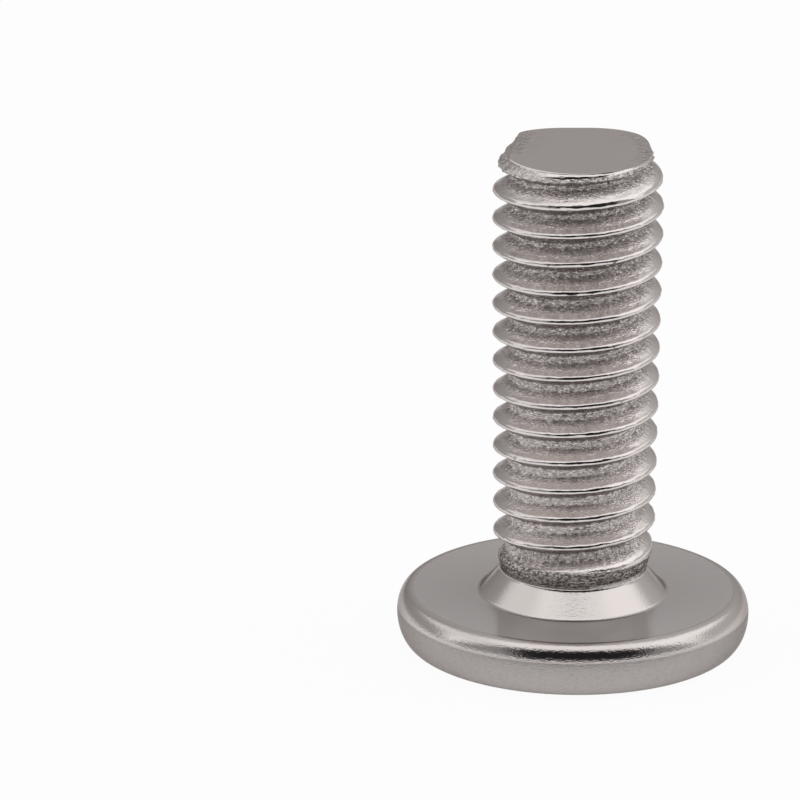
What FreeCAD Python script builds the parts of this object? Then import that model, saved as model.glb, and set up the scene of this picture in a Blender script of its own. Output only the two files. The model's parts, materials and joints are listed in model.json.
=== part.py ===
import FreeCAD, Part
import math
import os

os.makedirs("parts", exist_ok=True)

# One M4 x 0.7 machine screw in millimetres, standing on the flat face of its head.
# The origin is the middle of that face and Z runs up the shank to the tip.

# Driving sizes
thread_diameter = 4.0
thread_pitch = 0.7
length_under_head = 10.8
head_diameter = 8.3
head_height = 1.3
rim_round_out = 0.38
rim_round_down = 0.43
wall_round_in = 0.42
recess_span = 4.05
recess_wing_width = 1.03
recess_straight_depth = 1.76

# Allowances and proportions that follow from the thread
crest_allowance = 0.01
crest_taper = 0.1
flank_half_angle = 30.0
root_diameter = thread_diameter - 1.2269 * thread_pitch
band_diameter = thread_diameter - 0.32
waist_diameter = thread_diameter - 0.56
tip_face_diameter = root_diameter + 0.34
tip_chamfer_height = 0.65
groove_drop_at_tip = 0.28 * thread_pitch
groove_end_angle = -210.0
groove_end_widening = 1.06
cutter_overreach = 0.05

# The neck between the head and the thread, heights above the bearing face
cone_foot_diameter = thread_diameter + 0.48
cone_height = 0.53
waist_top = 0.63
shoulder_top = 1.0
band_top = 1.1
thread_start = 1.5
cone_foot_fillet = 0.12

# Cross recess: the wings' ends slope in, the wings' sides too, the floor is a cone
wing_end_angle = 26.5
floor_angle = 28.0
wing_side_angle = 2.9
wing_corner_round = 0.3
recess_overreach = 0.2

bearing_z = head_height
tip_z = head_height + length_under_head
crest_radius_tip = thread_diameter / 2 - crest_allowance
crest_radius_neck = crest_radius_tip - crest_taper
root_radius = root_diameter / 2
tip_face_radius = tip_face_diameter / 2


def vec(x, z):
    return FreeCAD.Vector(x, 0, z)


def slope(degrees):
    return math.tan(math.radians(degrees))


def line(a, b):
    return Part.makeLine(vec(*a), vec(*b))


def arc(a, b, centre, radius):
    """Short arc from a to b round a centre, in the XZ plane."""
    mid_x = (a[0] + b[0]) / 2 - centre[0]
    mid_z = (a[1] + b[1]) / 2 - centre[1]
    scale = radius / math.hypot(mid_x, mid_z)
    mid = (centre[0] + mid_x * scale, centre[1] + mid_z * scale)
    return Part.Arc(vec(*a), vec(*mid), vec(*b)).toShape()


def crowned(widest, end):
    """Rounding from a widest point to a flat's edge: a wide arc and a tight one, tangent at 45 degrees."""
    half_right = math.sqrt(0.5)
    out = widest[0] - end[0]
    rise = end[1] - widest[1]
    side = math.copysign(1, rise)
    wider_by = (abs(rise) - out) / (2 * half_right - 1)
    tight = abs(rise) - wider_by * half_right
    wide = tight + wider_by
    tight_centre = (end[0], end[1] - side * tight)
    wide_centre = (widest[0] - wide, widest[1])
    joint = (end[0] + tight * half_right, tight_centre[1] + side * tight * half_right)
    return [arc(widest, joint, wide_centre, wide), arc(joint, end, tight_centre, tight)]


def revolve(edges):
    face = Part.Face(Part.Wire(edges))
    return face.revolve(vec(0, 0), vec(0, 1), 360)


def blank():
    """Head, neck and unthreaded shank as one turned solid."""
    head_radius = head_diameter / 2
    face_edge = (head_radius - wall_round_in, 0)
    widest = (head_radius, bearing_z - rim_round_down)
    rim_end = (head_radius - rim_round_out, bearing_z)
    foot = (cone_foot_diameter / 2, bearing_z)
    corners = [
        foot,
        (waist_diameter / 2, bearing_z + cone_height),
        (waist_diameter / 2, bearing_z + waist_top),
        (band_diameter / 2, bearing_z + shoulder_top),
        (band_diameter / 2, bearing_z + band_top),
        (crest_radius_neck, bearing_z + thread_start),
        (crest_radius_tip, tip_z - tip_chamfer_height),
        (tip_face_radius, tip_z),
        (0, tip_z),
        (0, 0),
    ]
    edges = [
        line((0, 0), face_edge),
        *reversed(crowned(widest, face_edge)),
        *crowned(widest, rim_end),
        line(rim_end, foot),
    ]
    for start, end in zip(corners, corners[1:]):
        edges.append(line(start, end))
    body = revolve(edges)
    foot_edges = []
    for edge in body.Edges:
        is_ring = isinstance(edge.Curve, Part.Circle)
        if is_ring and abs(edge.Curve.Center.z - bearing_z) < 1e-6:
            if abs(edge.Curve.Radius - foot[0]) < 1e-6:
                foot_edges.append(edge)
    return body.makeFillet(cone_foot_fillet, foot_edges)


def helix(turns):
    """Whole turns of the thread's helix, each an edge of its own, which keeps the swept faces simple."""
    edges = []
    for turn in range(turns):
        one = Part.makeHelix(thread_pitch, thread_pitch, thread_diameter / 2)
        one.translate(vec(0, turn * thread_pitch))
        edges += one.Edges
    return Part.Wire(edges)


def thread_groove():
    """Right-hand helical groove, from its rounded end above the neck to beyond the tip."""
    nominal = thread_diameter / 2
    outer = nominal + cutter_overreach
    mouth = thread_pitch * 7 / 16
    root_half = mouth - (nominal - root_radius) * slope(flank_half_angle)
    section = Part.makePolygon([
        vec(root_radius, -root_half),
        vec(nominal, -mouth),
        vec(outer, -mouth),
        vec(outer, mouth),
        vec(nominal, mouth),
        vec(root_radius, root_half),
        vec(root_radius, -root_half),
    ])
    highest = tip_z - groove_drop_at_tip
    turns = int((highest - bearing_z - band_top) / thread_pitch)
    end_z = highest - (turns - groove_end_angle / 360) * thread_pitch
    spine = helix(turns + 2)
    cutter = spine.makePipeShell([Part.Wire(section)], True, True)
    mouth_outside = mouth + cutter_overreach * slope(flank_half_angle)
    groove_end = Part.makeCone(
        root_half * groove_end_widening,
        mouth_outside * groove_end_widening,
        outer - root_radius,
        vec(root_radius, 0),
        vec(1, 0),
    )
    for piece in (cutter, groove_end):
        piece.rotate(vec(0, 0), vec(0, 1), groove_end_angle)
        piece.translate(vec(0, end_z))
    return cutter, groove_end


def cross_wire(z, width, corner):
    """Outline of a cross with rounded inner corners, its wings longer than the recess."""
    half = width / 2
    centre = half + corner
    inner = centre - corner * math.sqrt(0.5)
    wing = [
        (recess_span, -half),
        (recess_span, half),
        (centre, half),
        (inner, inner),
        (half, centre),
        (half, recess_span),
    ]
    edges = []
    for quarter in range(4):
        turn = FreeCAD.Rotation(FreeCAD.Vector(0, 0, 1), 90 * quarter)
        points = [turn.multVec(FreeCAD.Vector(x, y, z)) for x, y in wing]
        edges.append(Part.makeLine(points[0], points[1]))
        edges.append(Part.makeLine(points[1], points[2]))
        edges.append(Part.Arc(points[2], points[3], points[4]).toShape())
        edges.append(Part.makeLine(points[4], points[5]))
    return Part.Wire(edges)


def cross_recess():
    """Number 2 cross recess that opens in the head's flat face and narrows upwards."""
    mouth_radius = recess_span / 2
    floor_radius = mouth_radius - recess_straight_depth * slope(wing_end_angle)
    peak = recess_straight_depth + floor_radius * slope(floor_angle)
    outside = (mouth_radius + recess_overreach * slope(wing_end_angle), -recess_overreach)
    floor_edge = (floor_radius, recess_straight_depth)
    envelope = revolve([
        line((0, -recess_overreach), outside),
        line(outside, floor_edge),
        line(floor_edge, (0, peak)),
        line((0, peak), (0, -recess_overreach)),
    ])
    wires = []
    for z in (-recess_overreach, peak + recess_overreach):
        width = recess_wing_width - 2 * z * slope(wing_side_angle)
        wires.append(cross_wire(z, width, wing_corner_round))
    return envelope.common(Part.makeLoft(wires, True, True))


def screw():
    body = blank().cut(cross_recess())
    for cutter in thread_groove():
        body = body.cut(cutter)
    return body.Solids[0]


screw().exportStep("parts/screw.step")
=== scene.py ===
import json
import math
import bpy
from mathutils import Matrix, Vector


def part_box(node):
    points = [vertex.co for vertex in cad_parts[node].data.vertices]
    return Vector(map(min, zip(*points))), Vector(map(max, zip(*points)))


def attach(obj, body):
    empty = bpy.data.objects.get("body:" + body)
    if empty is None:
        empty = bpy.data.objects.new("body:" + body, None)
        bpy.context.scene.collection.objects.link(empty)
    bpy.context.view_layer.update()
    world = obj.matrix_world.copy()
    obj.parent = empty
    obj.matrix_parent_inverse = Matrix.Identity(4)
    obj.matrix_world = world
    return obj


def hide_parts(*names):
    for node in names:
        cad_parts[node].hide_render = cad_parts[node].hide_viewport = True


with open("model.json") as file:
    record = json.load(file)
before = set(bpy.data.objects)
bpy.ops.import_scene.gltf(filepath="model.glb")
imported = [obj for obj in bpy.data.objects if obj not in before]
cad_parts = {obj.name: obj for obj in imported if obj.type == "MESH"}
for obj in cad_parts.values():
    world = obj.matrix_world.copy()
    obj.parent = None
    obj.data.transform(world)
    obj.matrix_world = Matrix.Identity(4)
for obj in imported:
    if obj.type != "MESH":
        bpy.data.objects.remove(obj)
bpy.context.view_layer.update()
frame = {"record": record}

from types import SimpleNamespace

import bpy
import numpy as np
from mathutils import Matrix, Vector, noise

# The screw's mesh is worked out in millimetres and written in metres
MM = 0.001
TURN = 2 * math.pi

# Places and sizes that the frame gives
mounts = {mount["name"]: mount for mount in frame["record"]["mounts"]}
box_low, box_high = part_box("screw")
tip_z = box_high[2] / MM
head_radius = round((box_high[0] - box_low[0]) / 2 / MM, 2)
bearing_z = mounts["bearing_face"]["pos_m"][2] / MM
crest_radius = mounts["thread"]["dims"]["r_mm"]

# Thread: a groove that winds down from the tip, and crests bevelled on the side of the tip
pitch = 0.7
flank_slope = math.tan(math.radians(30))
nominal_radius = 2.0
root_radius = nominal_radius - 0.61345 * pitch
groove_mouth_half = 0.3
groove_drop_at_tip = 0.28 * pitch
groove_shift = 0.025
first_groove_z = tip_z - groove_drop_at_tip - groove_shift
groove_end_turn = 13 + 210 / 360
crest_taper = 0.1
crest_radius_neck = crest_radius - crest_taper
crest_rounding = 0.035
crest_bevel_slope = 0.4
crest_bevel_width = 0.1

# Neck, heights above the bearing face
foot_fillet = 0.12
cone_foot_radius = 2.22
cone_height = 0.53
waist_fillet = 0.08
waist_radius = 1.72
waist_top = 0.63
shoulder_top = 1.0
band_radius = 1.84
band_top = 1.1
thread_start = 1.5

# Head, with a bearing ring that is dished towards the cone
bearing_dish = 0.04
rim_round_out = 0.34
rim_round_down = 0.54
wall_round_in = 0.42
face_rim_width = 0.05
widest_z = bearing_z - rim_round_down
cone_lean = math.degrees(math.atan2(cone_height + bearing_dish, cone_foot_radius - waist_radius))
ring_end_radius = cone_foot_radius + foot_fillet * math.tan(math.radians(cone_lean / 2))
ring_end_z = bearing_z - bearing_dish

# Cross recess in the flat face
recess_radius = 2.025
wing_half_width = 0.515
wing_end_slope = math.tan(math.radians(26.5))
wing_side_slope = math.tan(math.radians(2.9))
recess_corner = 0.3
mouth_round = 0.03
straight_depth = 1.76
floor_slope = math.tan(math.radians(28))
recess_peak = straight_depth + (recess_radius - straight_depth * wing_end_slope) * floor_slope

# Worn sides in degrees, with the camera's at 270: the middle, then how far from it wear is full and ends
worn_lip_side = (168, 12, 38)
flattened_side = (270, 26, 44)
burred_side = (200, 30, 50)
rough_edge_side = (158, 22, 44)
streaked_edge_side = (12, 26, 60)

# Worn tip: depths below it with the blank's radii, and corners of the lip with how far they stand out
worn_end = [(1.25, crest_radius), (0.9, 1.98), (0.45, 1.945), (0.2, 1.82), (0.0, 1.72)]
lip_radius = 1.72
lip_depths = (0.042, 0.112)
lip_corners = [(50, 0.27), (90, 0.13), (132, 0.28)]
lip_corner_reach = 42
worn_lip_radius = 1.6
worn_lip_slope = 3.2
flattened_slope = 0.36
flattened_width = 0.2
flattened_top_depth = 0.5
flattened_end_depth = 0.79

# Where the surface is rough and torn: across a groove, up from the bearing face, and down from the tip
crest_offsets = (0.25, 0.31)
torn_from_offsets = (-0.23, -0.1)
torn_to_offsets = (0.24, 0.3)
torn_growth_heights = (2, 9)
torn_at_neck = 0.7
rough_waist = 0.4
rough_waist_heights = (0.62, 0.7)
rough_thread_heights = (0.95, 1.1)
torn_waist_from = (0.58, 0.66)
torn_waist_to = (0.98, 1.04)
smooth_tip_depths = (0.02, 0.06)
burr_depths = (0.25, 0.4)
burr_torn = 0.7

# Relief of the rough surface: heights, sizes of the grain, and how much it is squeezed along the axis
grain_falloff = 0.5
grain_step = 2.1
torn_relief = 0.05
torn_grain = 0.11
torn_squeeze = 1.7
crest_swell = 0.014
dent_relief = 0.011
dent_grain = 0.3
dent_squeeze = 3
dent_shift = 7
streak_relief = 0.006
streak_grain = 0.9
streaks_round = 2.2
streaks_across = 14
streaks_apart = 3.1

# Chatter marks in the last half turn of the groove: where they begin, in turns before its end
chatter_relief = 0.035
chatter_waves = 48
chatter_turns = (0.58, 0.48)
chatter_offsets = (0.1, 0.2)

# End face: rings as shares of its edge with how rough they are, and dips in them
tip_rings = [(0.985, 1), (0.94, 1), (0.9, 1), (0.85, 1), (0.8, 0.6), (0.76, 0), (0.5, 0)]
dip_depth = 0.07
dip_grain = 0.1
rough_edge = 0.55
streaked_edge = 0.4

# Mesh: columns round the axis, rows that follow the helix, and level rows below and above them
columns = 240
turn_count = 18
half_rows = [0.0, 0.028, 0.058, 0.092, 0.13, 0.175, 0.22, 0.255, 0.28, 0.298, 0.32, 0.35]
row_gap = 0.006
neck_rows = [bearing_z + waist_top + 0.026 * i for i in range(14)]
end_rows = [tip_z - d for d in (0.14, 0.12, 0.1, 0.085, 0.07, 0.055, 0.04, 0.028, 0.016, 0.006, 0.0)]
wall_steps = 18
rim_steps = 20
satin_rim_steps = 3
ring_shares = [0.04, 0.3, 0.7, 0.97, 1]
foot_steps = 5
cone_shares = [0.05, 0.5, 0.95, 1]
waist_steps = 4
wing_end_steps = columns // 20
wing_side_steps = columns // 8 - wing_end_steps
columns_before_x = 5
mouth_rings = [(0, mouth_round), (0.004, 0.013), (0.013, 0.004), (mouth_round, 0)]
recess_wall_shares = [0.2, 0.4, 0.6, 0.8, 0.95, 1]
recess_floor_shares = [0.95, 0.7, 0.4, 0.15]
sharp_angle = math.radians(50)

# Colours of the plated steel, as reflectance
head_colour = (0.6, 0.557, 0.54)
thread_colour = (0.69, 0.643, 0.627)
# The wall's colour is darker as painted shade, for the shaded floor that the wall reflects
shaded_wall_colour = (0.46, 0.43, 0.418)
flat_colour = (0.49, 0.457, 0.445)
# Dirt in the torn grooves, which also paints shade at the neck and darkens the wall's patches
dirt_and_shade_colour = (0.2, 0.175, 0.167)
# Painted glints: bright colour for highlights in the torn grooves
painted_glint_colour = (0.95, 0.91, 0.89)
edge_tint = (0.5, 0.47, 0.46)

# Finish: roughness, the satin shares that tell the surfaces apart, and the dull film on the flats
glossy_roughness = 0.12
satin_roughness = 0.36
torn_roughness = 0.17
roughness_change = (0.8, 1.25)
flat_satin = 0.15
tip_satin = 0.05
wall_satin = (0.7, 1)
flat_satin_from = (tip_satin, flat_satin)
flat_satin_to = (flat_satin, 0.4)
flat_film = 0.7

# Noise in the finish: scale per metre with detail, and the levels at which dirt with painted shade, painted
# glints and patches appear
noise_squeeze = 1.8
clouds_noise = (9000, 6)
spots_noise = (12000, 2)
fine_noise = (17000, 3)
even_clouds = (0.3, 0.7)
dirt_and_shade_spots = (0.4, 0.6)
painted_glint_spots = (0.55, 0.68)
painted_glint_strength = 0.6
patch_clouds = (0.25, 0.7)
patch_strength = 0.32

# Heights above the bearing face at which the finish changes, and its strength at the neck or on the thread:
# the dirt is darker at the neck as painted shade, and the painted glints are fainter there
thread_colour_heights = (0.5, 0.9)
neck_shade_heights = (0.9, 1.2)
thread_dirt_and_shade = 0.5
painted_glint_heights = (0.8, 1.2)
neck_painted_glints = 0.15
rim_from_heights = (-0.4, -0.3)
rim_to_heights = (-0.03, -0.01)

# Fine relief in the finish
smooth_finish_relief = 0.003
wall_finish_relief = 0.014
rim_finish_relief = 0.006
torn_finish_relief = 0.04

# Floor
floor_reach = 600
floor_drop = 0.005
floor_grey = 0.85
floor_roughness = 0.9
floor_white_share = 0.95

# Studio: strengths of its walls and lights
wall_left = 0.44
wall_right = 0.64
high_wall = 0.62
softbox = 1.2
right_light = 1.3
left_light = 1.0
dark_side = 0.02
low_side = 0.36

# Studio: edges by direction. A rise is the angle from the camera's side up and over the screw, in degrees
wall_change_x = (-0.4, 0.1)
high_wall_rise = (108, 140)
softbox_rise = (92, 112)
raised_z = (0.4, 0.58)
right_light_x = (0.42, 0.6)
left_light_x = (-0.65, -0.45)
camera_side_from_rise = (1, 6)
camera_side_to_rise = (55, 61)
dark_from_x = (-0.72, -0.5)
dark_to_x = (0.62, 0.84)

# Camera with a long lens, fitted to the thread, the head's ring and the tip
picture_px = 800
focal_px = 11075
sensor_mm = 36
camera_elevation = math.radians(18.9)
camera_roll = math.radians(0.44)
camera_distance = 260
camera_aim = (-4.12, 0, 5.95)


def ease(value, low, high):
    """Smooth step from 0 at low to 1 at high."""
    t = np.clip((value - low) / (high - low), 0, 1)
    return t * t * (3 - 2 * t)


def smooth_min(a, b, width):
    """The lower of two values, with the corner between them rounded."""
    overlap = np.clip(width - np.abs(a - b), 0, None) / width
    return np.minimum(a, b) - overlap * overlap * width / 4


def grain(x, y, z, size, octaves=2):
    """Repeatable noise of about -1 to 1 at the points of three arrays."""
    points = np.stack([x, y, z], 1) / size
    return np.array([noise.fractal(Vector(p), grain_falloff, grain_step, octaves) for p in points])


def on_side(angle, side):
    """One on a side of the screw, easing to none away from it."""
    middle, full, end = map(math.radians, side)
    gap = np.abs((angle - middle + math.pi) % TURN - math.pi)
    return 1 - ease(gap, full, end)


def blank_radius(z):
    """Radius of the shank without its thread, from the waist up."""
    heights = [bearing_z + height for height in (waist_top, shoulder_top, band_top, thread_start)]
    radii = [waist_radius, band_radius, band_radius, crest_radius_neck]
    heights += [tip_z - depth for depth, _ in worn_end]
    radii += [radius for _, radius in worn_end]
    return np.interp(z, heights, radii)


def root_half(z):
    """Half the width of the root, which grows towards the neck where the thread gets shallower."""
    full = np.interp(z, [bearing_z + thread_start, tip_z], [crest_radius_neck, crest_radius])
    return groove_mouth_half - (full - root_radius) * flank_slope


def groove_place(angle, z):
    """Height above the nearest groove's middle, and the turns run there below the first groove."""
    turns = (first_groove_z - z) / pitch
    nearest = np.round(turns + angle / TURN) - angle / TURN
    return (nearest - turns) * pitch, nearest


def threaded_radius(angle, z):
    """Radius of the shank with its groove, which ends rounded at the neck."""
    offset, turn = groove_place(angle, z)
    beyond_end = np.clip(turn - groove_end_turn, 0, None) * TURN * root_radius
    from_middle = np.hypot(offset, beyond_end)
    groove = root_radius + np.clip(from_middle - root_half(z), 0, None) / flank_slope
    bevel = crest_bevel_slope * np.clip(pitch / 2 + offset, 0, crest_bevel_width)
    crest = blank_radius(z) - np.where(offset < 0, bevel, 0)
    return smooth_min(crest, groove, crest_rounding)


def lip_reach(angle, depth):
    """Radius of the burred lip round the end face, which stands out at its corners."""
    reach = lip_radius
    for middle, extra in lip_corners:
        reach = reach + extra * on_side(angle, (middle, 0, lip_corner_reach))
    return reach * (1 - ease(depth, *lip_depths))


def worn_to(radius, limit, share):
    """Radius worn down by a share to a limit."""
    return np.minimum(radius, limit * share + radius * (1 - share))


def shank_radius(angle, z):
    """Radius of the threaded shank with the lip and the wear at its tip."""
    depth = tip_z - z
    radius = np.maximum(threaded_radius(angle, z), lip_reach(angle, depth))
    slant = worn_lip_radius + np.clip(depth, 0, None) * worn_lip_slope
    radius = worn_to(radius, slant, on_side(angle, worn_lip_side))
    flat = crest_radius - flattened_slope * np.clip(flattened_end_depth - depth, 0, flattened_width)
    return worn_to(radius, flat, on_side(angle, flattened_side) * (depth > flattened_top_depth))


def rough_share(z):
    """One on the thread, less on the waist, none on the cone and the end face."""
    height = z - bearing_z
    waist = rough_waist * ease(height, *rough_waist_heights)
    thread = (1 - rough_waist) * ease(height, *rough_thread_heights)
    return (waist + thread) * ease(tip_z - z, *smooth_tip_depths)


def torn_groove(angle, z):
    """How torn a groove is: from under a crest to the foot of the next flank, and less near the neck."""
    offset, _ = groove_place(angle, z)
    across = ease(offset + root_half(z) / 3, *torn_from_offsets) * (1 - ease(offset, *torn_to_offsets))
    growth = torn_at_neck + (1 - torn_at_neck) * ease(z - bearing_z, *torn_growth_heights)
    return across * rough_share(z) * growth


def torn_waist(z):
    """How torn the waist and shoulder are."""
    height = z - bearing_z
    return ease(height, *torn_waist_from) * (1 - ease(height, *torn_waist_to))


def torn_burr(angle, z):
    """How torn the burr at the left of the tip is."""
    depth = tip_z - z
    upright = (1 - ease(depth, *burr_depths)) * ease(depth, *smooth_tip_depths)
    return burr_torn * on_side(angle, burred_side) * upright


def torn_share(angle, z):
    """How torn the rolled surface is."""
    return np.maximum(torn_groove(angle, z), np.maximum(torn_waist(z), torn_burr(angle, z)))


def chatter(angle, offset, turn):
    """Waves along the root of the groove's last half turn."""
    last = ease(groove_end_turn - turn, *chatter_turns)
    return np.sin(chatter_waves * angle) * last * (1 - ease(np.abs(offset), *chatter_offsets))


def roughened(angle, z, radius):
    """Radius with the torn root, the streaked flanks and the swollen, dented crests of a rolled thread."""
    offset, turn = groove_place(angle, z)
    x = radius * np.cos(angle)
    y = radius * np.sin(angle)
    torn = grain(x, y, z * torn_squeeze, torn_grain) * torn_share(angle, z)
    dents = grain(x + dent_shift, y, z * dent_squeeze, dent_grain, 3)
    groove = np.round(turn + angle / TURN)
    streaks = grain(angle * streaks_round, offset * streaks_across, groove * streaks_apart, streak_grain, 3)
    on_crest = ease(np.abs(offset), *crest_offsets)
    change = torn_relief * torn + (crest_swell + dent_relief * dents) * on_crest
    change += streak_relief * streaks * (1 - on_crest)
    change += chatter_relief * chatter(angle, offset, turn)
    return radius + change * rough_share(z)


def arc_points(centre, radii, start, end, count):
    """Points on an ellipse between two angles in degrees, without the first."""
    points = []
    for i in range(1, count + 1):
        t = math.radians(start + (end - start) * i / count)
        points.append((centre[0] + radii[0] * math.cos(t), centre[1] + radii[1] * math.sin(t)))
    return points


def line_points(start, end, shares):
    """Points at the given shares of a straight line."""
    return [(start[0] + (end[0] - start[0]) * s, start[1] + (end[1] - start[1]) * s) for s in shares]


def head_wall():
    """Radius and height from just inside the rim of the flat face to the head's widest point."""
    face_edge = head_radius - wall_round_in
    points = [(face_edge - face_rim_width, 0), (face_edge, 0)]
    return points + arc_points((face_edge, widest_z), (wall_round_in, widest_z), -90, 0, wall_steps)


def head_rim():
    """Radius and height from the head's widest point to the bearing ring."""
    centre = (head_radius - rim_round_out, widest_z)
    return arc_points(centre, (rim_round_out, rim_round_down), 0, 90, rim_steps)


def neck_cone():
    """Radius and height up the cone, with the fillets at its foot and below the waist."""
    lean = math.radians(cone_lean)
    cut_back = waist_fillet * math.tan(math.radians((90 - cone_lean) / 2))
    top_z = bearing_z + cone_height
    top = (waist_radius + cut_back * math.cos(lean), top_z - cut_back * math.sin(lean))
    foot_centre = (ring_end_radius, ring_end_z + foot_fillet)
    waist_centre = (waist_radius + waist_fillet, top_z + cut_back)
    points = arc_points(foot_centre, (foot_fillet, foot_fillet), -90, -90 - cone_lean, foot_steps)
    points += line_points(points[-1], top, cone_shares)
    points += arc_points(waist_centre, (waist_fillet, waist_fillet), -90 - cone_lean, -180, waist_steps)
    return points


def head_profile():
    """Radius, height and satin share from the rim of the flat face, over the head, to the waist."""
    rim = head_rim()
    satin_rim = rim[:satin_rim_steps]
    glossy_rim = rim[satin_rim_steps:]
    ring = line_points(rim[-1], (ring_end_radius, ring_end_z), ring_shares)
    parts = [(head_wall(), 1), (satin_rim, 1), (glossy_rim, 0), (ring, flat_satin), (neck_cone(), 0)]
    return [(radius, z, satin) for points, satin in parts for radius, z in points]


def thread_rows(angle):
    """Heights of the rows that follow the helix in one column."""
    offsets = [-v for v in half_rows[-2:0:-1]] + half_rows
    heights = []
    for turn in range(-1, turn_count):
        middle = first_groove_z - (turn - angle / TURN) * pitch
        heights += [middle + v for v in offsets]
    return sorted(h for h in heights if neck_rows[-1] + row_gap < h < end_rows[0] - row_gap)


def column_points(angle, profile):
    """One column from the face's rim to the tip, and where its helical rows begin and end."""
    thread = thread_rows(angle)
    z = np.array(neck_rows + thread + end_rows)
    turned = np.full_like(z, angle)
    radii = roughened(turned, z, shank_radius(turned, z))
    points = profile + [(radius, height, 0) for radius, height in zip(radii, z)]
    first = len(profile) + len(neck_rows) - 1
    return points, first, first + len(thread) + 1


def add_points(coords, points):
    """Numbers of the points that are added."""
    coords += points
    return list(range(len(coords) - len(points), len(coords)))


def add_columns(coords, finish):
    """Points of all columns, and each one's point numbers with where its helical rows begin and end."""
    profile = head_profile()
    loops = []
    for j in range(columns):
        angle = TURN * j / columns + math.pi / 2
        points, first, last = column_points(angle, profile)
        heights = np.array([height for _, height, _ in points])
        torn = torn_share(np.full_like(heights, angle), heights)
        finish += [(share, satin) for share, (_, _, satin) in zip(torn, points)]
        places = [(r * math.cos(angle), r * math.sin(angle), height) for r, height, _ in points]
        loops.append((add_points(coords, places), first, last))
    return loops


def strip(left, right):
    """Faces between the level rows of two neighbouring columns."""
    return [(left[i], right[i], right[i + 1], left[i + 1]) for i in range(len(left) - 1)]


def joined(left, right, coords):
    """Faces between the helical rows of two neighbouring columns."""
    faces = []
    lead = pitch / columns
    tolerance = lead * 0.6
    i = j = 0
    while i < len(left) - 1 or j < len(right) - 1:
        next_left = coords[left[i + 1]][2] if i < len(left) - 1 else math.inf
        next_right = coords[right[j + 1]][2] - lead if j < len(right) - 1 else math.inf
        both = i < len(left) - 1 and j < len(right) - 1
        if both and abs(next_left - next_right) < tolerance:
            faces.append((left[i], right[j], right[j + 1], left[i + 1]))
            i += 1
            j += 1
        elif next_left < next_right:
            faces.append((left[i], right[j], left[i + 1]))
            i += 1
        else:
            faces.append((left[i], right[j], right[j + 1]))
            j += 1
    return faces


def outside_faces(loops, coords):
    """Faces between all neighbouring columns."""
    faces = []
    for (a, a_first, a_last), (b, b_first, b_last) in zip(loops, loops[1:] + loops[:1]):
        faces += strip(a[:a_first + 1], b[:b_first + 1])
        faces += joined(a[a_first:a_last + 1], b[b_first:b_last + 1], coords)
        faces += strip(a[a_last:], b[b_last:])
    return faces


def ring_faces(outer, inner):
    """Faces between two rings of equally many points."""
    count = len(outer)
    return [(outer[j], outer[(j + 1) % count], inner[(j + 1) % count], inner[j]) for j in range(count)]


def fan_faces(ring, middle):
    """Faces from a ring to the point in its middle."""
    return [(ring[j], ring[(j + 1) % len(ring)], middle) for j in range(len(ring))]


def edge_torn(angle):
    """How rough the end face's edge is: most at its worn side, in part opposite."""
    return rough_edge * on_side(angle, rough_edge_side) + streaked_edge * on_side(angle, streaked_edge_side)


def close_tip(coords, faces, finish, ring):
    """End face as rings that shrink to the axis."""
    outer = ring
    torn = [float(edge_torn(math.atan2(coords[i][1], coords[i][0]))) for i in ring]
    for share, rough in tip_rings:
        points = np.array([coords[i][:2] for i in ring]) * share
        dips = np.abs(grain(*points.T, np.zeros(len(points)), dip_grain)) * torn * rough
        points = [(x, y, tip_z - dip_depth * dip) for (x, y), dip in zip(points.tolist(), dips.tolist())]
        inner = add_points(coords, points)
        faces += ring_faces(outer, inner)
        finish += [(rough * value, tip_satin) for value in torn]
        outer = inner
    middle = add_points(coords, [(0, 0, tip_z)])
    faces += fan_faces(outer, *middle)
    finish.append((0, tip_satin))


def recess_outline(depth, grow):
    """Cross outline at a depth as four quadrants of equally many points."""
    half = wing_half_width - depth * wing_side_slope + grow
    radius = recess_radius - depth * wing_end_slope + grow
    reach = math.sqrt(radius ** 2 - half ** 2)
    corner = half + recess_corner
    turn = math.asin(half / radius)
    shares = [i / wing_side_steps for i in range(wing_side_steps)]
    quadrant = []
    for i in range(wing_end_steps):
        t = turn * (2 * i / wing_end_steps - 1)
        quadrant.append((radius * math.cos(t), radius * math.sin(t)))
    quadrant += line_points((reach, half), (corner, half), shares)
    for i in range(wing_end_steps):
        t = math.radians(270 - 90 * i / wing_end_steps)
        quadrant.append((corner + recess_corner * math.cos(t), corner + recess_corner * math.sin(t)))
    quadrant += line_points((half, corner), (half, reach), shares)
    points = []
    for k in range(4):
        c, s = round(math.cos(TURN * k / 4)), round(math.sin(TURN * k / 4))
        points += [(x * c - y * s, x * s + y * c) for x, y in quadrant]
    return points


def floor_depth(x, y):
    """Depth of the recess's conical floor."""
    return recess_peak - math.hypot(x, y) * floor_slope


def recess_foot():
    """Depths at which the recess's walls meet its floor, closed in on step by step."""
    foot = [floor_depth(x, y) for x, y in recess_outline(straight_depth, 0)]
    for _ in range(3):
        foot = [floor_depth(*recess_outline(z, 0)[i]) for i, z in enumerate(foot)]
    return foot


def recess_rings():
    """Rings of points from the recess's mouth down its walls and over its conical floor."""
    rings = []
    for depth, grow in mouth_rings:
        rings.append([(x, y, depth) for x, y in recess_outline(depth, grow)])
    foot = recess_foot()
    for share in recess_wall_shares:
        depths = [mouth_round + (z - mouth_round) * share for z in foot]
        rings.append([(*recess_outline(z, 0)[i], z) for i, z in enumerate(depths)])
    wall_end = rings[-1]
    for share in recess_floor_shares:
        ring = [(x * share, y * share) for x, y, _ in wall_end]
        rings.append([(x, y, floor_depth(x, y)) for x, y in ring])
    return rings


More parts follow.
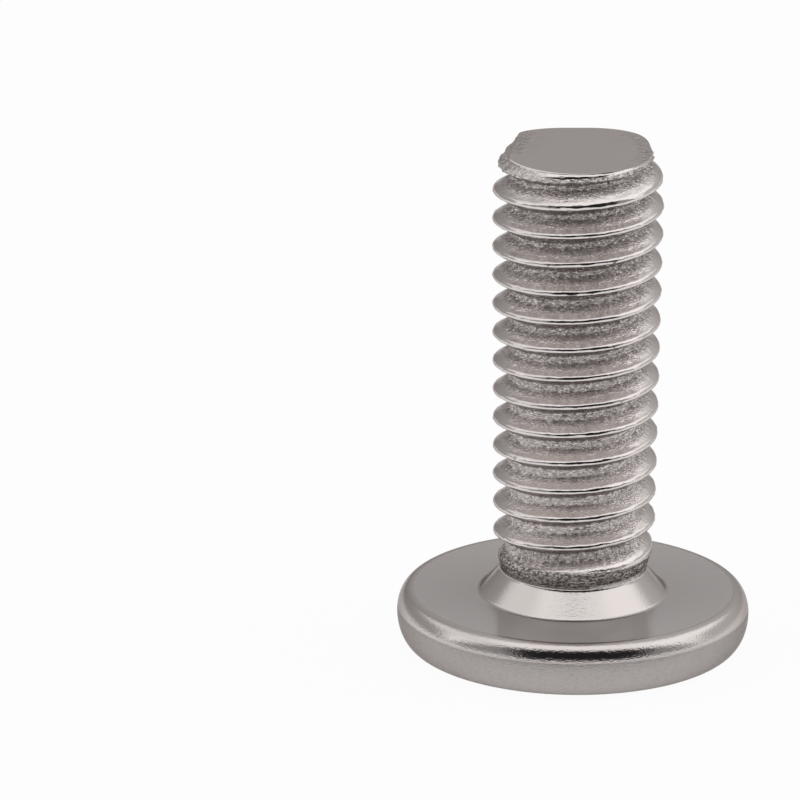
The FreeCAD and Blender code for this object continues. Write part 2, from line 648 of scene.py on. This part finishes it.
def close_head(coords, faces, ring):
    """Flat face with the cross recess in it, from where the recess's outline starts, by the X axis."""
    start = columns * 3 // 4 - columns_before_x
    outer = ring[start:] + ring[:start]
    facing_up = []
    for points in recess_rings():
        inner = add_points(coords, points)
        facing_up += ring_faces(outer, inner)
        outer = inner
    middle = add_points(coords, [(0, 0, recess_peak)])
    facing_up += fan_faces(outer, *middle)
    faces += [face[::-1] for face in facing_up]


def screw_mesh():
    """The whole screw as one closed mesh, with how torn and how satin each point is."""
    coords = []
    finish = []
    loops = add_columns(coords, finish)
    faces = outside_faces(loops, coords)
    close_tip(coords, faces, finish, [ids[-1] for ids, _, _ in loops])
    close_head(coords, faces, [ids[0] for ids, _, _ in loops])
    finish += [(0, flat_satin)] * (len(coords) - len(finish))
    mesh = bpy.data.meshes.new("screw_body")
    mesh.from_pydata([(x * MM, y * MM, z * MM) for x, y, z in coords], [], faces)
    for name, values in zip(("torn", "satin"), zip(*finish)):
        mesh.attributes.new(name, "FLOAT", "POINT").data.foreach_set("value", values)
    mesh.shade_smooth()
    mesh.set_sharp_from_angle(angle=sharp_angle)
    return mesh


def placed(name, data):
    """New object in the scene."""
    thing = bpy.data.objects.new(name, data)
    bpy.context.collection.objects.link(thing)
    return thing


def painted(mesh, name):
    """Node tree of a mesh's new material, and its main shader."""
    material = bpy.data.materials.new(name)
    material.use_nodes = True
    mesh.materials.append(material)
    return material.node_tree, material.node_tree.nodes["Principled BSDF"]


def node(tree, kind, **values):
    """New shader node with its properties and unlinked inputs set."""
    made = tree.nodes.new(kind)
    for name, value in values.items():
        if hasattr(made, name):
            setattr(made, name, value)
        else:
            made.inputs[name.replace("_", " ")].default_value = value
    return made


def put(tree, value, socket):
    """Link a socket to another one, or set it to a number or a colour."""
    if isinstance(value, bpy.types.NodeSocket):
        tree.links.new(value, socket)
    elif isinstance(value, tuple):
        socket.default_value = (*value, 1)
    else:
        socket.default_value = value


def worked_out(tree, operation, a, b):
    """Result of a maths node on two values, each a socket or a number."""
    made = node(tree, "ShaderNodeMath", operation=operation)
    put(tree, a, made.inputs[0])
    put(tree, b, made.inputs[1])
    return made.outputs[0]


def times(tree, a, b):
    """Product of two values."""
    return worked_out(tree, "MULTIPLY", a, b)


def between(tree, value, low, high, out_low, out_high):
    """Smooth step of a value, as a node's output."""
    step = node(tree, "ShaderNodeMapRange", interpolation_type="SMOOTHSTEP")
    for name, number in zip(("From Min", "From Max", "To Min", "To Max"), (low, high, out_low, out_high)):
        step.inputs[name].default_value = number
    tree.links.new(value, step.inputs["Value"])
    return step.outputs["Result"]


def mixed(tree, share, value, other):
    """A value that gives way to another by a share."""
    mix = node(tree, "ShaderNodeMix", data_type="FLOAT")
    put(tree, share, mix.inputs["Factor"])
    put(tree, value, mix.inputs["A"])
    put(tree, other, mix.inputs["B"])
    return mix.outputs["Result"]


def blended(tree, share, colour, other):
    """A colour that gives way to another by a share."""
    mix = node(tree, "ShaderNodeMix", data_type="RGBA")
    first, second = (socket for socket in mix.inputs if socket.type == "RGBA")
    put(tree, share, mix.inputs["Factor"])
    put(tree, colour, first)
    put(tree, other, second)
    return next(socket for socket in mix.outputs if socket.type == "RGBA")


def blended_shader(tree, share, shader, other):
    """A shader that gives way to another by a share."""
    mix = node(tree, "ShaderNodeMixShader")
    put(tree, share, mix.inputs[0])
    put(tree, shader, mix.inputs[1])
    put(tree, other, mix.inputs[2])
    return mix.outputs[0]


def textured(tree, place, scale, detail):
    """Noise texture by place, as a node's output."""
    clouds = node(tree, "ShaderNodeTexNoise", Scale=scale, Detail=detail)
    tree.links.new(place, clouds.inputs["Vector"])
    return clouds.outputs["Fac"]


def by_height(tree, surface, heights, low, high):
    """Smooth step between two heights above the bearing face."""
    start, end = ((bearing_z + height) * MM for height in heights)
    return between(tree, surface.z, start, end, low, high)


def screw_surface(tree):
    """What tells the screw's surfaces apart: the mesh's attributes, the height and three noises."""
    place = node(tree, "ShaderNodeTexCoord").outputs["Object"]
    height = node(tree, "ShaderNodeSeparateXYZ")
    squeezed = node(tree, "ShaderNodeVectorMath", operation="MULTIPLY")
    squeezed.inputs[1].default_value = (1, 1, noise_squeeze)
    tree.links.new(place, height.inputs[0])
    tree.links.new(place, squeezed.inputs[0])
    satin = node(tree, "ShaderNodeAttribute", attribute_name="satin").outputs["Fac"]
    over_glossy = between(tree, satin, *flat_satin_from, 0, 1)
    under_wall = between(tree, satin, *flat_satin_to, 1, 0)
    return SimpleNamespace(
        z=height.outputs["Z"],
        torn=node(tree, "ShaderNodeAttribute", attribute_name="torn").outputs["Fac"],
        satin=satin,
        wall=between(tree, satin, *wall_satin, 0, 1),
        flat=times(tree, over_glossy, under_wall),
        clouds=textured(tree, squeezed.outputs[0], *clouds_noise),
        spots=textured(tree, squeezed.outputs[0], *spots_noise),
        fine=textured(tree, squeezed.outputs[0], *fine_noise),
    )


def steel_colour(tree, surface):
    """Clean colours of the head, the thread, the flat ring and the wall, the wall's darkened as painted
    shade.
    """
    on_thread = by_height(tree, surface, thread_colour_heights, 0, 1)
    colour = blended(tree, on_thread, head_colour, thread_colour)
    colour = blended(tree, surface.flat, colour, flat_colour)
    return blended(tree, surface.wall, colour, shaded_wall_colour)


def shaded_dirt_and_glints(tree, surface, colour):
    """Colour with dirt where the surface is torn, darker at the neck as painted shade, painted glints where
    it is torn, and dull patches on the wall.
    """
    dirt_and_shade = times(tree, between(tree, surface.spots, *dirt_and_shade_spots, 1, 0), surface.torn)
    # Full strength at the neck and below, as painted shade there; half on the thread
    dirt_and_shade = times(tree, dirt_and_shade, by_height(tree, surface, neck_shade_heights, 1, thread_dirt_and_shade))
    patches = times(tree, between(tree, surface.clouds, *patch_clouds, patch_strength, 0), surface.wall)
    # Painted glints: bright spots in the torn grooves standing in for highlights
    painted_glints = times(tree, between(tree, surface.spots, *painted_glint_spots, 0, painted_glint_strength), surface.torn)
    painted_glints = times(tree, painted_glints, by_height(tree, surface, painted_glint_heights, neck_painted_glints, 1))
    colour = blended(tree, mixed(tree, surface.torn, patches, dirt_and_shade), colour, dirt_and_shade_colour)
    return blended(tree, painted_glints, colour, painted_glint_colour)


def steel_roughness(tree, surface):
    """Roughness of the glossy, satin and torn surfaces, varied a little."""
    plain_roughness = between(tree, surface.satin, 0, 1, glossy_roughness, satin_roughness)
    roughness = mixed(tree, surface.torn, plain_roughness, torn_roughness)
    return times(tree, roughness, between(tree, surface.clouds, *even_clouds, *roughness_change))


def steel_normal(tree, surface):
    """Fine relief of the finish, most of it where the surface is torn."""
    on_rim = times(tree, by_height(tree, surface, rim_from_heights, 0, 1),
                   by_height(tree, surface, rim_to_heights, 1, 0))
    depth = between(tree, surface.wall, 0, 1, smooth_finish_relief, wall_finish_relief)
    depth = mixed(tree, on_rim, depth, rim_finish_relief)
    depth = mixed(tree, surface.torn, depth, torn_finish_relief)
    bump = node(tree, "ShaderNodeBump", Strength=1.0, Distance=MM)
    tree.links.new(times(tree, surface.fine, depth), bump.inputs["Height"])
    return bump.outputs["Normal"]


def plate_with_steel(mesh):
    """Plated steel that is glossy, satin, under a dull film, or torn with dirt in it, with painted shade on
    the wall and at the neck and painted glints where it is torn.
    """
    tree, shader = painted(mesh, "steel")
    surface = screw_surface(tree)
    put(tree, shaded_dirt_and_glints(tree, surface, steel_colour(tree, surface)), shader.inputs["Base Color"])
    put(tree, between(tree, surface.flat, 0, 1, 1, 1 - flat_film), shader.inputs["Metallic"])
    put(tree, steel_roughness(tree, surface), shader.inputs["Roughness"])
    put(tree, edge_tint, shader.inputs["Specular Tint"])
    put(tree, steel_normal(tree, surface), shader.inputs["Normal"])


def add_screw():
    """The screw as one piece."""
    mesh = screw_mesh()
    plate_with_steel(mesh)
    body = placed("screw_body", mesh)
    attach(body, "root")
    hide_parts("screw")


def paint_floor(mesh):
    """White to the camera and in reflections, under the screw's soft shadow, and clear from underneath."""
    tree, paint = painted(mesh, "floor")
    put(tree, (floor_grey, floor_grey, floor_grey), paint.inputs["Base Color"])
    put(tree, floor_roughness, paint.inputs["Roughness"])
    white = node(tree, "ShaderNodeEmission", Color=(1, 1, 1, 1), Strength=1)
    clear = node(tree, "ShaderNodeBsdfTransparent")
    side = node(tree, "ShaderNodeNewGeometry")
    ray = node(tree, "ShaderNodeLightPath").outputs
    seen = worked_out(tree, "MAXIMUM", ray["Is Camera Ray"], ray["Is Glossy Ray"])
    seen = worked_out(tree, "MAXIMUM", seen, ray["Is Transmission Ray"])
    share = times(tree, seen, floor_white_share)
    whitened = blended_shader(tree, share, paint.outputs[0], white.outputs[0])
    one_sided = blended_shader(tree, side.outputs["Backfacing"], whitened, clear.outputs[0])
    tree.links.new(one_sided, tree.nodes["Material Output"].inputs["Surface"])


def add_floor():
    """Floor just under the head's flat face."""
    reach = floor_reach * MM
    corners = [(x * reach, y * reach, -floor_drop * MM) for x, y in ((-1, -1), (1, -1), (1, 1), (-1, 1))]
    mesh = bpy.data.meshes.new("floor")
    mesh.from_pydata(corners, [], [(0, 1, 2, 3)])
    paint_floor(mesh)
    floor = placed("floor", mesh)


def light_directions(tree):
    """Direction of the light as its x, its z and its rise."""
    place = node(tree, "ShaderNodeTexCoord")
    split = node(tree, "ShaderNodeSeparateXYZ")
    tree.links.new(place.outputs["Generated"], split.inputs[0])
    x, y, z = split.outputs
    return x, z, worked_out(tree, "ARCTAN2", z, times(tree, y, -1))


def by_rise(tree, rise, degrees, low, high):
    """Smooth step between two rises."""
    return between(tree, rise, *map(math.radians, degrees), low, high)


def studio_light(tree, x, z, rise):
    """Strength of grey walls, the high wall over them, the softbox overhead and a light at each side."""
    raised = between(tree, z, *raised_z, 0, 1)
    at_right = times(tree, between(tree, x, *right_light_x, 0, 1), raised)
    at_left = times(tree, between(tree, x, *left_light_x, 1, 0), raised)
    strength = between(tree, x, *wall_change_x, wall_left, wall_right)
    strength = mixed(tree, by_rise(tree, rise, high_wall_rise, 1, 0), strength, high_wall)
    strength = mixed(tree, by_rise(tree, rise, softbox_rise, 1, 0), strength, softbox)
    strength = mixed(tree, at_right, strength, right_light)
    return mixed(tree, at_left, strength, left_light)


def darkened(tree, strength, x, rise):
    """Strength with the dark side at the camera."""
    at_camera = times(tree, by_rise(tree, rise, camera_side_to_rise, 1, 0),
                      by_rise(tree, rise, camera_side_from_rise, 0, 1))
    darkness = between(tree, x, *dark_to_x, dark_side, low_side)
    darkness = mixed(tree, between(tree, x, *dark_from_x, 1, 0), darkness, low_side)
    return mixed(tree, at_camera, strength, darkness)


def add_light():
    """Studio as a world whose light depends on direction alone."""
    world = bpy.data.worlds.new("studio")
    bpy.context.scene.world = world
    world.use_nodes = True
    tree = world.node_tree
    x, z, rise = light_directions(tree)
    strength = darkened(tree, studio_light(tree, x, z, rise), x, rise)
    background = tree.nodes["Background"]
    put(tree, (1, 1, 1), background.inputs["Color"])
    put(tree, strength, background.inputs["Strength"])


def camera_axes():
    """The camera's right, up and back, turned by its roll."""
    back = Vector((0, -math.cos(camera_elevation), math.sin(camera_elevation)))
    right = Vector((1, 0, 0))
    up = back.cross(right)
    turned_right = right * math.cos(camera_roll) + up * math.sin(camera_roll)
    turned_up = up * math.cos(camera_roll) - right * math.sin(camera_roll)
    return turned_right, turned_up, back


def add_camera():
    """Camera aimed beside the screw, as in the photo."""
    right, up, back = camera_axes()
    data = bpy.data.cameras.new("camera")
    data.sensor_width = sensor_mm
    data.lens = focal_px * sensor_mm / picture_px
    data.clip_start = 0.01
    camera = placed("camera", data)
    aim = Vector([value * MM for value in camera_aim])
    place = aim + back * (camera_distance * MM)
    camera.matrix_world = Matrix.Translation(place) @ Matrix((right, up, back)).transposed().to_4x4()
    bpy.context.scene.camera = camera


add_screw()
add_floor()
add_light()
add_camera()
bpy.context.scene.view_settings.view_transform = "Standard"
